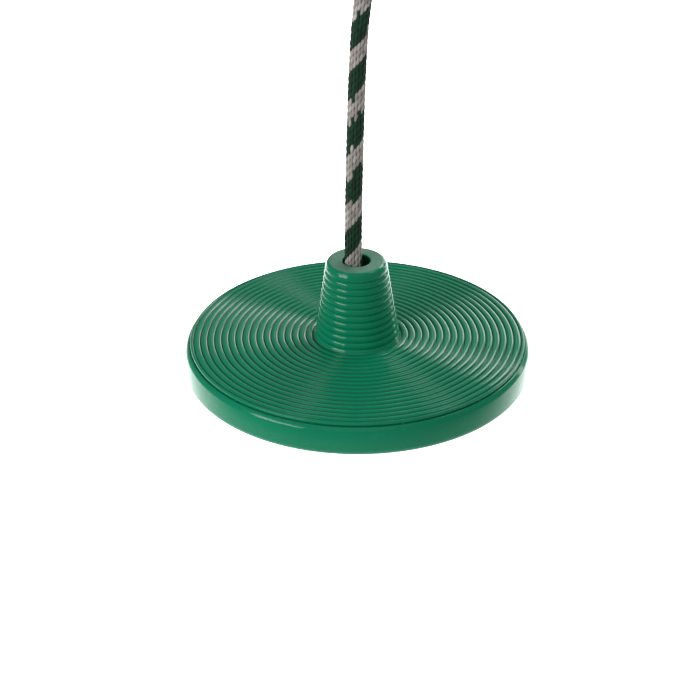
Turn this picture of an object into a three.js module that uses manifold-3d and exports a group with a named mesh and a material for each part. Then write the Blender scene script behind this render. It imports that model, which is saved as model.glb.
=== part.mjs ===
// A disc swing: a moulded round seat with a ribbed hub, hung on one braided rope.
// Millimetres, +Z up. The origin is the inside of the snap hook's bow, where the swing is hung up.
import * as THREE from "three";
import { mergeVertices } from "three/addons/utils/BufferGeometryUtils.js";
import Module from "manifold-3d";

const wasm = await Module();
wasm.setup();

// ---- Driving dimensions ----------------------------------------------------

const GAP = 0.3; // between pieces that touch

// Seat. Heights in the seat group are measured from the plane of its outermost valley.
const SEAT_DROP = 600; // from the origin down to that plane
const SEAT_RADIUS = 152.5;
const RIDGE_PITCH = 6.2;
const RIDGE_COUNT = 17;
const RIDGE_HEIGHT = 1.3;
const OUTER_VALLEY_RADIUS = 144.5;
const DOME_RISE = 5.5; // the disc's top is this much higher at its middle than at its edge
const PLATE_THICKNESS = 4.5;
const RIM_DEPTH = 31; // from the outermost valley down to the rim's lower edge
const SHOULDER_RADIUS = 4;
const RIM_EDGE_RADIUS = 7;
const SKIRT_THICKNESS = 4.5;
const SEAT_SIDES = 36;

const HUB_HEIGHT = 78.3;
const HUB_BASE_RADIUS = 37.5;
const HUB_TOP_RADIUS = 26.5;
const HUB_RIBS = 12;
const HUB_RIB_DEPTH = 0.9;
const HUB_EDGE_RADIUS = 3;
const HUB_WALL = 4;
const BORE_RADIUS = 11.6;
const BORE_WALL = 4.6;
const BOSS_BOTTOM = -8; // where the load washer bears

const RADIAL_RIBS = 12;
const RIB_THICKNESS = 3;
const RIB_BOTTOM = -29.5;
const WELL_RADIUS = 33; // the well round the knot
const RING_RIB_RADII = [74, 112];

// Rope, its knot and what is on it.
const ROPE_DIAMETER = 15.5;
const ROPE_SIDES = 10;
const ROPE_STEP = 9;
const LEG_SPACING = 16.3; // between the two legs of the eye inside the ferrule
const EYE_BEND_RADIUS = 31; // of the rope's centre line round the thimble
const EYE_HALF_ANGLE = 28; // degrees between each leg and the vertical
const FERRULE_BOTTOM = -235;
const FERRULE_LENGTH = 45;
const FERRULE_WALL = 2.6;
const SHORT_END_BEND = 40; // radius of the short end's curve below the ferrule
const SHORT_END_ANGLE = 25; // degrees that it turns away
const SHORT_END_STRAIGHT = 13;
const THIMBLE_THICKNESS = 2.2;
const WASHER_RADIUS = 25;
const WASHER_HOLE_RADIUS = 9.6;
const WASHER_THICKNESS = 3;
const KNOT_RADIUS = 25;
const KNOT_HEIGHT = 43;
const KNOT_FLAT_RADIUS = 8.5; // where it bears on the washer
const TAIL = { x: 3, y: -2, length: 36 }; // the rope's end below the knot
const BAND_LENGTH = 12;
const BAND_WALL = 0.9;
const BAND_INSET = 1.5; // from a rope's end to the band round it

// Swivel snap hook.
const HOOK_BAR_RADIUS = 5;
const BOW_INNER_RADIUS = 13;
const SPINE_BOTTOM = -50;
const HOOK_CORNER_RADIUS = 14;
const NOSE_END = -19;
const PIVOT = { x: 17.5, z: -52 };
const TONGUE_THICKNESS = 3.8;
const TONGUE_RADIUS = 4.4;
const SLOT_WIDTH = 4.6;
const SLOT_DEPTH = 8; // at the gate's top
const GATE_RADIUS = 4.6;
const GATE_TOP = -19.8;
const PIN_RADIUS = 1.5;
const PIN_HOLE_RADIUS = 1.7;
const LATCH_PIN = { x: 17.3, z: -23.2, radius: 1.2, holeRadius: 1.5 };
const SPRING_BORE = { radius: 2.4, top: -30.5 };
const SPRING = { radius: 1.7, wire: 0.45, turns: 6, length: 8.6 };
const PLUNGER = { radius: 2, length: 7 };
const BOSS_RADIUS = 9.5;
const BOSS_TOP = -57;
const BOSS_LOW = -72;
const SHANK_RADIUS = 4;
const SHANK_TOP = -46.5;
const EYE_BAR_RADIUS = 4.5;
const EYE_RING_RADIUS = 17.5; // of the swivel eye's centre line
const EYE_RING_TOP = -78;
const COLLAR_RADIUS = 7;
const COLLAR_HEIGHT = 2.7;
const NUT = { across: 13, height: 6.5, washerRadius: 8, washerThickness: 1.6 };

// ---- Materials ---------------------------------------------------------------

const plastic = (color, roughness) => new THREE.MeshStandardMaterial({ color, roughness, metalness: 0 });
const metal = (color, roughness) => new THREE.MeshStandardMaterial({ color, roughness, metalness: 1 });
const seatPlastic = plastic(0x167e5a, 0.35);
const ropeFibre = plastic(0x3c5a48, 0.85);
const blackSleeve = plastic(0x1b1c1e, 0.5);
const zincSteel = metal(0xb4b8bb, 0.35);
const springSteel = metal(0x9a9da0, 0.3);

// ---- Helpers -----------------------------------------------------------------

// A manifold-3d solid of a closed three.js geometry.
function solidOf(geometry) {
  const bare = geometry.clone();
  bare.deleteAttribute("normal");
  bare.deleteAttribute("uv");
  const merged = mergeVertices(bare, 1e-4);
  return new wasm.Manifold(
    new wasm.Mesh({
      numProp: 3,
      vertProperties: merged.attributes.position.array,
      triVerts: new Uint32Array(merged.index.array),
    }),
  );
}

function geometryOf(solid) {
  const mesh = solid.getMesh();
  const geometry = new THREE.BufferGeometry();
  geometry.setAttribute("position", new THREE.BufferAttribute(mesh.vertProperties, 3));
  geometry.setIndex(new THREE.BufferAttribute(mesh.triVerts, 1));
  return geometry;
}

function join(first, ...others) {
  return geometryOf(others.reduce((sum, other) => sum.add(solidOf(other)), solidOf(first)));
}

function cut(first, ...tools) {
  return geometryOf(tools.reduce((rest, tool) => rest.subtract(solidOf(tool)), solidOf(first)));
}

// A solid of revolution about Z from an outline of [radius, height] points, given clockwise.
// An outline that starts on the axis ends on it too, and any other is closed.
function turned(outline, sides) {
  const closing = outline[0][0] === 0 ? [] : [outline[0]];
  const points = [...outline, ...closing].reverse().map(([r, z]) => new THREE.Vector2(r, z));
  return new THREE.LatheGeometry(points, sides).rotateX(Math.PI / 2);
}

// Points of an arc about a centre, from one angle to another in degrees.
function arc(centreR, centreZ, radius, from, to, steps) {
  return Array.from({ length: steps + 1 }, (_, i) => {
    const a = THREE.MathUtils.degToRad(from + ((to - from) * i) / steps);
    return [centreR + radius * Math.cos(a), centreZ + radius * Math.sin(a)];
  });
}

// A cylinder along X, Y or Z with its middle at a point.
function cylinder(axis, radius, length, at, sides = 16) {
  const geometry = new THREE.CylinderGeometry(radius, radius, length, sides);
  if (axis === "x") geometry.rotateZ(Math.PI / 2);
  if (axis === "z") geometry.rotateX(Math.PI / 2);
  return geometry.translate(...at);
}

function box(size, at) {
  return new THREE.BoxGeometry(...size).translate(...at);
}

// A plate in the XZ plane, centred on Y, from a closed outline of [x, z] points.
function plate(outline, thickness) {
  const shape = new THREE.Shape(outline.map(([x, z]) => new THREE.Vector2(x, z)));
  const geometry = new THREE.ExtrudeGeometry(shape, { depth: thickness, bevelEnabled: false });
  return geometry.rotateX(Math.PI / 2).translate(0, thickness / 2, 0);
}

// A round bar along a curve.
function bar(curve, radius, steps, sides) {
  const section = new THREE.Shape();
  section.absarc(0, 0, radius, 0, 2 * Math.PI);
  const settings = { steps, extrudePath: curve, curveSegments: sides / 2, bevelEnabled: false };
  return new THREE.ExtrudeGeometry(section, settings);
}

// A planar THREE.Path, drawn in x and z, as an even 3-D curve in the XZ or the YZ plane.
function upright(path, count, plane = "xz") {
  const points = path.getSpacedPoints(count).map((p) => {
    return plane === "xz" ? new THREE.Vector3(p.x, 0, p.y) : new THREE.Vector3(0, p.x, p.y);
  });
  return new THREE.CatmullRomCurve3(points);
}

function part(name, geometry, material) {
  const mesh = new THREE.Mesh(geometry, material);
  mesh.name = name;
  return mesh;
}

// ---- Seat --------------------------------------------------------------------

// Height of the disc's smooth top at a radius.
const domeAt = (r) => DOME_RISE * (1 - (r / OUTER_VALLEY_RADIUS) ** 2);
const undersideAt = (r) => domeAt(r) - PLATE_THICKNESS;

// Radius of the hub's cone at a height.
function hubRadiusAt(z) {
  const share = (z - domeAt(HUB_BASE_RADIUS)) / (HUB_HEIGHT - domeAt(HUB_BASE_RADIUS));
  return HUB_BASE_RADIUS + (HUB_TOP_RADIUS - HUB_BASE_RADIUS) * share;
}

function hubOutline() {
  const top = arc(HUB_TOP_RADIUS - HUB_EDGE_RADIUS, HUB_HEIGHT - HUB_EDGE_RADIUS, HUB_EDGE_RADIUS, 90, 0, 3);
  const base = domeAt(HUB_BASE_RADIUS);
  const pitch = (HUB_HEIGHT - base) / HUB_RIBS;
  const ribs = [];
  for (let i = 1; i < HUB_RIBS; i++) {
    const valley = HUB_HEIGHT - i * pitch;
    ribs.push([hubRadiusAt(valley) - HUB_RIB_DEPTH, valley]);
    ribs.push([hubRadiusAt(valley - pitch / 2), valley - pitch / 2]);
  }
  const mouth = [[BORE_RADIUS, HUB_HEIGHT - 1], [BORE_RADIUS + 1, HUB_HEIGHT]];
  return [...mouth, ...top, ...ribs, [HUB_BASE_RADIUS - 0.6, base]];
}

function ridgeOutline() {
  const points = [];
  for (let i = RIDGE_COUNT; i > 0; i--) {
    const valley = OUTER_VALLEY_RADIUS - i * RIDGE_PITCH;
    const crest = valley + RIDGE_PITCH / 2;
    points.push([valley, domeAt(valley) - RIDGE_HEIGHT / 2]);
    points.push([crest, domeAt(crest) + RIDGE_HEIGHT / 2]);
  }
  points.push([OUTER_VALLEY_RADIUS, -RIDGE_HEIGHT / 2]);
  return points;
}

// The rounded shoulder, the side wall that bulges a little, and the rolled lower edge.
function rimOutline() {
  const shoulderRadius = SEAT_RADIUS - 1.5;
  const skirtInside = SEAT_RADIUS - SKIRT_THICKNESS - 1;
  return [
    [OUTER_VALLEY_RADIUS + 1.4, RIDGE_HEIGHT / 2 - 0.5],
    ...arc(shoulderRadius - SHOULDER_RADIUS, -SHOULDER_RADIUS, SHOULDER_RADIUS, 80, 10, 3),
    [SEAT_RADIUS - 0.4, -RIM_DEPTH * 0.35],
    [SEAT_RADIUS, -RIM_DEPTH * 0.55],
    ...arc(SEAT_RADIUS - RIM_EDGE_RADIUS, -RIM_DEPTH + RIM_EDGE_RADIUS, RIM_EDGE_RADIUS, -10, -90, 4),
    [SEAT_RADIUS - RIM_EDGE_RADIUS - 3, -RIM_DEPTH],
    [SEAT_RADIUS - RIM_EDGE_RADIUS - 4, -RIM_DEPTH + 2],
    [skirtInside - 2, -RIM_DEPTH + RIM_EDGE_RADIUS],
    [skirtInside, undersideAt(skirtInside) - 2],
  ];
}

// The underside from the skirt in to the bore, with its ring ribs and the well round the knot.
function undersideOutline() {
  const rings = [...RING_RIB_RADII].reverse().flatMap((r) => [
    [r + RIB_THICKNESS, undersideAt(r + RIB_THICKNESS)],
    [r + RIB_THICKNESS, RIB_BOTTOM],
    [r, RIB_BOTTOM],
    [r, undersideAt(r)],
  ]);
  const hubInside = HUB_HEIGHT - HUB_WALL - 1;
  return [
    ...rings,
    [WELL_RADIUS + RIB_THICKNESS, undersideAt(WELL_RADIUS + RIB_THICKNESS)],
    [WELL_RADIUS + RIB_THICKNESS, RIB_BOTTOM],
    [WELL_RADIUS, RIB_BOTTOM],
    [WELL_RADIUS, undersideAt(WELL_RADIUS)],
    [hubRadiusAt(hubInside) - HUB_WALL, hubInside],
    [BORE_RADIUS + BORE_WALL, hubInside],
    [BORE_RADIUS + BORE_WALL, BOSS_BOTTOM],
    [BORE_RADIUS, BOSS_BOTTOM],
  ];
}

// One radial rib: up to the hub's top inside it, level with the boss over the well, deep beyond the well.
function radialRib() {
  const inner = BORE_RADIUS + BORE_WALL / 2;
  const outer = SEAT_RADIUS - SKIRT_THICKNESS;
  const cover = PLATE_THICKNESS / 2;
  const hubInside = HUB_HEIGHT - HUB_WALL;
  return plate(
    [
      [inner, BOSS_BOTTOM],
      [WELL_RADIUS + RIB_THICKNESS / 2, BOSS_BOTTOM],
      [WELL_RADIUS + RIB_THICKNESS / 2, RIB_BOTTOM],
      [outer, RIB_BOTTOM],
      [outer, domeAt(outer) - cover],
      [(WELL_RADIUS + outer) / 2, domeAt((WELL_RADIUS + outer) / 2) - cover],
      [WELL_RADIUS + RIB_THICKNESS / 2, domeAt(WELL_RADIUS) - cover],
      [hubRadiusAt(hubInside) - HUB_WALL / 2, hubInside],
      [inner, hubInside],
    ],
    RIB_THICKNESS,
  );
}

function seat() {
  const outline = [...hubOutline(), ...ridgeOutline(), ...rimOutline(), ...undersideOutline()];
  const shell = turned(outline, SEAT_SIDES);
  const ribs = [];
  for (let i = 0; i < RADIAL_RIBS; i++) {
    ribs.push(radialRib().rotateZ(((i + 0.5) / RADIAL_RIBS) * 2 * Math.PI));
  }
  return part("seat", join(shell, ...ribs), seatPlastic);
}

// ---- Load washer -------------------------------------------------------------

function loadWasher() {
  const top = BOSS_BOTTOM - GAP;
  const bottom = top - WASHER_THICKNESS;
  const outline = [
    [WASHER_HOLE_RADIUS, top],
    [WASHER_RADIUS - 0.5, top],
    [WASHER_RADIUS, top - 0.5],
    [WASHER_RADIUS, bottom],
    [WASHER_HOLE_RADIUS, bottom],
  ];
  return part("load_washer", turned(outline, 32), zincSteel);
}

// ---- Rope --------------------------------------------------------------------

// Heights from here on are measured from the origin.
const KNOT_TOP = -SEAT_DROP + BOSS_BOTTOM - WASHER_THICKNESS - 2 * GAP;
const KNOT_BOTTOM = KNOT_TOP - KNOT_HEIGHT;
const FERRULE_TOP = FERRULE_BOTTOM + FERRULE_LENGTH;
const THIMBLE_RADIUS = ROPE_DIAMETER / 2 + GAP + THIMBLE_THICKNESS; // of its channel's section
const EYE_BOTTOM = EYE_RING_TOP - 2 * EYE_RING_RADIUS; // the ring's centre line there
const EYE_TOP = EYE_BOTTOM + EYE_BAR_RADIUS + GAP + THIMBLE_RADIUS; // the rope's centre line there

// The rope's route: up from the knot through the washer and the hub, where it leans on the left of the bore,
// into the ferrule, round the thimble, and back down through the ferrule to its short end.
const MAIN_ROUTE = [
  [0.6, 0, KNOT_TOP + GAP],
  [0, 0, -592],
  [-1.1, -0.4, -567],
  [-2.2, -0.8, -544],
  [-2.8, -1, -522],
  [-2.9, -1, -492],
  [-2.5, -0.9, -452],
  [-1.8, -0.7, -412],
  [-0.9, -0.5, -372],
  [0.3, -0.3, -334],
  [1.8, -0.15, -304],
  [3.9, 0, -280],
  [6.4, 0, -257],
  [7.9, 0, -241],
];

// Places on the eye's right-hand leg, in x and z.
const EYE_LEGS = (() => {
  const half = THREE.MathUtils.degToRad(EYE_HALF_ANGLE);
  const centre = EYE_TOP - EYE_BEND_RADIUS;
  const tangent = [EYE_BEND_RADIUS * Math.cos(half), centre - EYE_BEND_RADIUS * Math.sin(half)];
  const bendEndX = LEG_SPACING / 2 + EYE_BEND_RADIUS * (1 - Math.cos(half));
  const bendEndZ = tangent[1] - (tangent[0] - bendEndX) / Math.tan(half);
  const bendZ = bendEndZ - EYE_BEND_RADIUS * Math.sin(half);
  return { half, centre, tangent, bendEnd: [bendEndX, bendEndZ], bendZ };
})();

// The eye, in its own plane: one leg up, round the thimble, down the other leg and out to the short end.
function eyePath() {
  const { half, centre, tangent, bendEnd, bendZ } = EYE_LEGS;
  const x = LEG_SPACING / 2;
  const R = EYE_BEND_RADIUS;
  const turn = THREE.MathUtils.degToRad(SHORT_END_ANGLE);
  const path = new THREE.Path();
  path.moveTo(x, FERRULE_BOTTOM);
  path.lineTo(x, bendZ);
  path.absarc(x + R, bendZ, R, Math.PI, Math.PI - half, true);
  path.lineTo(...tangent);
  path.absarc(0, centre, R, -half, Math.PI + half, false);
  path.lineTo(-bendEnd[0], bendEnd[1]);
  path.absarc(-x - R, bendZ, R, half, 0, true);
  path.lineTo(-x, FERRULE_BOTTOM);
  path.absarc(-x - SHORT_END_BEND, FERRULE_BOTTOM, SHORT_END_BEND, 0, -turn, true);
  const end = path.currentPoint;
  path.lineTo(end.x - SHORT_END_STRAIGHT * Math.sin(turn), end.y - SHORT_END_STRAIGHT * Math.cos(turn));
  return path;
}

function ropeRoute() {
  const eye = eyePath();
  const turns = eye.getSpacedPoints(Math.round(eye.getLength() / ROPE_STEP));
  const points = [...MAIN_ROUTE, ...turns.map((p) => [p.x, 0, p.y])];
  return new THREE.CatmullRomCurve3(points.map((p) => new THREE.Vector3(...p)), false, "centripetal");
}

function rope() {
  const route = ropeRoute();
  const steps = Math.round(route.getLength() / ROPE_STEP);
  return part("rope", bar(route, ROPE_DIAMETER / 2, steps, ROPE_SIDES), ropeFibre);
}

// The stopper knot's outer shape, drawn up against the washer.
function stopperKnot() {
  const middle = (KNOT_TOP + KNOT_BOTTOM) / 2;
  const side = arc(0, 0, 1, 65, -65, 6).map(([r, z]) => [KNOT_RADIUS * r, middle + (KNOT_HEIGHT / 2) * z]);
  const top = [[0, KNOT_TOP], [KNOT_FLAT_RADIUS, KNOT_TOP]];
  const bottom = [[KNOT_FLAT_RADIUS, KNOT_BOTTOM], [0, KNOT_BOTTOM]];
  return part("stopper_knot", turned([...top, ...side, ...bottom], 20), ropeFibre);
}

function ropeTail() {
  const top = KNOT_BOTTOM - GAP;
  const middle = [TAIL.x, TAIL.y, top - TAIL.length / 2];
  return part("rope_tail", cylinder("z", ROPE_DIAMETER / 2, TAIL.length, middle, ROPE_SIDES), ropeFibre);
}

// A heat-shrunk sleeve that keeps a rope's end from fraying, standing on its lower end at the origin.
function endBand(name) {
  const inner = ROPE_DIAMETER / 2 + GAP;
  const outer = inner + BAND_WALL;
  const outline = [[inner, BAND_LENGTH], [outer, BAND_LENGTH], [outer, 0], [inner, 0]];
  return part(name, turned(outline, 20), blackSleeve);
}

function tailBand() {
  const band = endBand("tail_end_band");
  band.position.set(TAIL.x, TAIL.y, KNOT_BOTTOM - GAP - TAIL.length + BAND_INSET);
  return band;
}

function shortEndBand() {
  const band = endBand("short_end_band");
  const turn = THREE.MathUtils.degToRad(SHORT_END_ANGLE);
  const end = eyePath().currentPoint;
  band.position.set(end.x + BAND_INSET * Math.sin(turn), 0, end.y + BAND_INSET * Math.cos(turn));
  band.rotation.y = turn;
  return band;
}

// A stadium outline round both legs of the eye.
function legsOutline(Outline, radius) {
  const outline = new Outline();
  outline.absarc(LEG_SPACING / 2, 0, radius, -Math.PI / 2, Math.PI / 2, false);
  outline.absarc(-LEG_SPACING / 2, 0, radius, Math.PI / 2, (3 * Math.PI) / 2, false);
  return outline;
}

function ferrule() {
  const inner = ROPE_DIAMETER / 2 + GAP;
  const shape = legsOutline(THREE.Shape, inner + FERRULE_WALL);
  shape.holes.push(legsOutline(THREE.Path, inner));
  const settings = { depth: FERRULE_LENGTH, curveSegments: 6, bevelEnabled: false };
  const sleeve = new THREE.ExtrudeGeometry(shape, settings).translate(0, 0, FERRULE_BOTTOM);
  return part("ferrule", sleeve, zincSteel);
}

// The thimble: half a tube that lines the inside of the rope's eye, from one leg round to the other.
function thimble() {
  const { half, centre, tangent, bendEnd } = EYE_LEGS;
  const path = new THREE.Path();
  path.moveTo(...bendEnd);
  path.lineTo(...tangent);
  path.absarc(0, centre, EYE_BEND_RADIUS, -half, Math.PI + half, false);
  path.lineTo(-bendEnd[0], bendEnd[1]);
  const inner = ROPE_DIAMETER / 2 + GAP;
  const section = new THREE.Shape();
  section.absarc(0, 0, THIMBLE_RADIUS, Math.PI, 2 * Math.PI, false);
  section.absarc(0, 0, inner, 2 * Math.PI, Math.PI, true);
  section.closePath();
  const route = upright(path, 60);
  const settings = { steps: 26, extrudePath: route, curveSegments: 5, bevelEnabled: false };
  return part("thimble", new THREE.ExtrudeGeometry(section, settings), zincSteel);
}

// ---- Swivel ------------------------------------------------------------------

function swivelEye() {
  const ring = new THREE.TorusGeometry(EYE_RING_RADIUS, EYE_BAR_RADIUS, 10, 28);
  ring.rotateY(Math.PI / 2).translate(0, 0, EYE_RING_TOP - EYE_RING_RADIUS);
  const shankLength = SHANK_TOP - EYE_RING_TOP;
  const shank = cylinder("z", SHANK_RADIUS, shankLength, [0, 0, EYE_RING_TOP + shankLength / 2]);
  const collar = cylinder("z", COLLAR_RADIUS, COLLAR_HEIGHT, [0, 0, BOSS_LOW - GAP - COLLAR_HEIGHT / 2], 20);
  return part("swivel_eye", join(ring, shank, collar), zincSteel);
}

function swivelWasher() {
  const low = BOSS_TOP + GAP;
  const high = low + NUT.washerThickness;
  const hole = SHANK_RADIUS + GAP;
  const outline = [[hole, high], [NUT.washerRadius, high], [NUT.washerRadius, low], [hole, low]];
  return part("swivel_washer", turned(outline, 20), zincSteel);
}

function swivelNut() {
  const low = BOSS_TOP + 2 * GAP + NUT.washerThickness;
  const middle = [0, 0, low + NUT.height / 2];
  const hexagon = cylinder("z", NUT.across / Math.sqrt(3), NUT.height, middle, 6);
  const hole = cylinder("z", SHANK_RADIUS + GAP, NUT.height + 2, middle);
  return part("swivel_nut", cut(hexagon, hole), zincSteel);
}

// ---- Snap hook ---------------------------------------------------------------

// From the nose over the bow, down the spine and round the bottom to below the gate's pivot.
function hookPath() {
  const R = BOW_INNER_RADIUS + HOOK_BAR_RADIUS;
  const corner = HOOK_CORNER_RADIUS;
  const path = new THREE.Path();
  path.moveTo(R, NOSE_END);
  path.lineTo(R, HOOK_BAR_RADIUS - R);
  path.absarc(0, HOOK_BAR_RADIUS - R, R, 0, Math.PI, false);
  path.lineTo(-R, SPINE_BOTTOM);
  path.absarc(corner - R, SPINE_BOTTOM, corner, Math.PI, 1.5 * Math.PI, false);
  path.lineTo(PIVOT.x - corner, SPINE_BOTTOM - corner);
  path.absarc(PIVOT.x - corner, SPINE_BOTTOM, corner, 1.5 * Math.PI, 1.81 * Math.PI, false);
  return path;
}

// The flat tongue that the gate's cheeks straddle.
function pivotTongue() {
  const round = arc(PIVOT.x, PIVOT.z, TONGUE_RADIUS, -20, 200, 10);
  return plate([...round, [PIVOT.x - 6.5, PIVOT.z - 9], [PIVOT.x - 2, PIVOT.z - 11]], TONGUE_THICKNESS);
}

// The flat tongue below the nose, with a notch that the gate's latch pin slides into.
function noseTongue() {
  const left = LATCH_PIN.x - 2.1;
  const right = LATCH_PIN.x + 3.5;
  const top = NOSE_END + 2;
  const bottom = GATE_TOP - SLOT_DEPTH + 0.8;
  const notchRadius = LATCH_PIN.radius + 0.6;
  const outline = [
    [left, top],
    [left, LATCH_PIN.z + notchRadius],
    ...arc(LATCH_PIN.x, LATCH_PIN.z, notchRadius, 90, -90, 6),
    [left, LATCH_PIN.z - notchRadius],
    [left, bottom],
    [right, bottom],
    [right, top],
  ];
  return plate(outline, TONGUE_THICKNESS);
}

function hookBody() {
  const pivot = [PIVOT.x, 0, PIVOT.z];
  const bow = bar(upright(hookPath(), 90), HOOK_BAR_RADIUS, 34, 12);
  const boss = cylinder("z", BOSS_RADIUS, BOSS_TOP - BOSS_LOW, [0, 0, (BOSS_TOP + BOSS_LOW) / 2], 24);
  const trimmed = cut(join(bow, boss), cylinder("y", GATE_RADIUS + 0.9, 30, pivot, 24));
  const bore = cylinder("z", SHANK_RADIUS + GAP, 40, [0, 0, BOSS_TOP], 16);
  const pinHole = cylinder("y", PIN_HOLE_RADIUS, 30, pivot);
  return part("hook_body", cut(join(trimmed, pivotTongue(), noseTongue()), bore, pinHole), zincSteel);
}

function hookGate() {
  const length = GATE_TOP - PIVOT.z;
  const stem = cylinder("z", GATE_RADIUS, length, [PIVOT.x, 0, PIVOT.z + length / 2]);
  const heel = cylinder("y", GATE_RADIUS, 2 * GATE_RADIUS, [PIVOT.x, 0, PIVOT.z], 20);
  const round = cylinder("z", GATE_RADIUS, 4 * GATE_RADIUS, [PIVOT.x, 0, PIVOT.z]);
  const rounded = geometryOf(solidOf(heel).intersect(solidOf(round)));
  const slotRoof = PIVOT.z + TONGUE_RADIUS + 1.1;
  const lowSlot = box([20, SLOT_WIDTH, 20], [PIVOT.x, 0, slotRoof - 10]);
  const topSlot = box([20, SLOT_WIDTH, 20], [PIVOT.x, 0, GATE_TOP - SLOT_DEPTH + 10]);
  const boreLength = SPRING_BORE.top - slotRoof + 1;
  const bore = cylinder("z", SPRING_BORE.radius, boreLength, [PIVOT.x, 0, SPRING_BORE.top - boreLength / 2]);
  const pinHole = cylinder("y", PIN_HOLE_RADIUS, 30, [PIVOT.x, 0, PIVOT.z]);
  const latchHole = cylinder("y", LATCH_PIN.holeRadius, 30, [LATCH_PIN.x, 0, LATCH_PIN.z], 12);
  return part("hook_gate", cut(join(stem, rounded), lowSlot, topSlot, bore, pinHole, latchHole), zincSteel);
}

function gatePin() {
  return part("gate_pin", cylinder("y", PIN_RADIUS, 2 * GATE_RADIUS, [PIVOT.x, 0, PIVOT.z], 12), zincSteel);
}

function latchPin() {
  const at = [LATCH_PIN.x, 0, LATCH_PIN.z];
  return part("latch_pin", cylinder("y", LATCH_PIN.radius, 2 * GATE_RADIUS - 0.6, at, 12), zincSteel);
}

function gatePlunger() {
  const middle = [PIVOT.x, 0, PIVOT.z + TONGUE_RADIUS + GAP + PLUNGER.length / 2];
  return part("gate_plunger", cylinder("z", PLUNGER.radius, PLUNGER.length, middle, 12), zincSteel);
}

// The compression spring between the plunger and the end of the gate's bore.
function gateSpring() {
  const low = PIVOT.z + TONGUE_RADIUS + 2 * GAP + PLUNGER.length + SPRING.wire;
  const rise = SPRING.length - 2 * SPRING.wire;
  const count = SPRING.turns * 8;
  const points = Array.from({ length: count + 1 }, (_, i) => {
    const a = (i / 8) * 2 * Math.PI;
    const x = PIVOT.x + SPRING.radius * Math.cos(a);
    return new THREE.Vector3(x, SPRING.radius * Math.sin(a), low + (rise * i) / count);
  });
  return part("gate_spring", bar(new THREE.CatmullRomCurve3(points), SPRING.wire, count, 6), springSteel);
}

// ---- Assembly ----------------------------------------------------------------

const hook = new THREE.Group();
hook.add(hookBody(), hookGate(), gatePin(), latchPin(), gatePlunger(), gateSpring());

const swivel = new THREE.Group();
swivel.add(swivelEye(), swivelWasher(), swivelNut());

const line = new THREE.Group();
line.add(rope(), stopperKnot(), ropeTail(), tailBand(), shortEndBand(), ferrule(), thimble());

const seatGroup = new THREE.Group();
seatGroup.position.z = -SEAT_DROP;
seatGroup.add(seat(), loadWasher());

const swing = new THREE.Group();
swing.add(hook, swivel, line, seatGroup);
export default swing;
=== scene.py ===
"""A disc swing: a ridged green plastic seat with a ribbed hub, hung on one braided rope from a snap hook.

Everything is in metres, in the CAD model's frame: +Z is up, and the origin is inside the hook's bow.
"""

import contextlib
import functools
import math

import bmesh
import bpy
import numpy as np
from mathutils import Matrix, Vector


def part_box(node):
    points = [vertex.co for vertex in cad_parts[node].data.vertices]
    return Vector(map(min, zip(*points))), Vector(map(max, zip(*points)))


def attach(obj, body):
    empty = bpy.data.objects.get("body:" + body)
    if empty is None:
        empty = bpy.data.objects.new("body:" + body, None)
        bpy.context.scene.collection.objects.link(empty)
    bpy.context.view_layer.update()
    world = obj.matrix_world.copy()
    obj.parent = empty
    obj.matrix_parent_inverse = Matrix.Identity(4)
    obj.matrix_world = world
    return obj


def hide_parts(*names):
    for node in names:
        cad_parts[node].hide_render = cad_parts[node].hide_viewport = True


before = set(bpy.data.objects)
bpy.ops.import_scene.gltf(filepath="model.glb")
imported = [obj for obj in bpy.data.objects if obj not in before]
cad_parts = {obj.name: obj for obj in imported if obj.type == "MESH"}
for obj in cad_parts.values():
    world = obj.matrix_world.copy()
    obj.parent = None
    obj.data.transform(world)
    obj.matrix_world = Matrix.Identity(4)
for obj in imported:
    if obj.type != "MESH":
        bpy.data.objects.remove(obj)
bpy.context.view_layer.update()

MM = 0.001
GAP = 0.3 * MM  # between pieces that touch

# ---- Sizes

SEAT_LOW, SEAT_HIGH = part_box("seat")
SEAT_RADIUS = SEAT_HIGH.x
HUB_HEIGHT = 78.3 * MM
SEAT_Z = SEAT_HIGH.z - HUB_HEIGHT  # the plane of the disc's outermost valley
RIM_DEPTH = SEAT_Z - SEAT_LOW.z
OUTER_VALLEY_RADIUS = 144.5 * MM
RIDGE_PITCH = 6.2 * MM
RIDGE_COUNT = 17
RIDGE_HEIGHT = 1.5 * MM
# The power of the ridges' profile: 2 is close to an arc, and more is flatter crests and tighter valleys.
VALLEY_SHARPNESS = 2.5
DOME_RISE = 5.5 * MM
PLATE_THICKNESS = 4.5 * MM
LIP_EDGE = (147.5 * MM, -1 * MM)  # radius and height, from here down to SHOULDER_EDGE
SHOULDER_TOP = (148.3 * MM, -2.9 * MM)
SHOULDER_EDGE = (151.5 * MM, -7.4 * MM)
RIM_EDGE_RADIUS = 7 * MM
SKIRT_THICKNESS = 4.5 * MM
SEAT_SIDES = 288

HUB_BASE_RADIUS = 37.5 * MM
HUB_TOP_RADIUS = 26.5 * MM
HUB_RIBS = 12
HUB_RIB_DEPTH = 0.9 * MM
HUB_EDGE_RADIUS = 4 * MM
HUB_LEAN = 1 * MM  # of its top, to the left
HUB_WALL = 4 * MM
BORE_RADIUS = 11.6 * MM
BORE_TOP_RADIUS = 12.3 * MM  # a moulded hole widens upwards
BORE_WALL = 4.6 * MM
BORE_EDGE_RADIUS = 1 * MM
BOSS_BOTTOM = -8 * MM

RADIAL_RIBS = 12
RIB_THICKNESS = 3 * MM
RIB_BOTTOM = -29.5 * MM
WELL_RADIUS = 33 * MM
RING_RIB_RADII = (74 * MM, 112 * MM)

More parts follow.
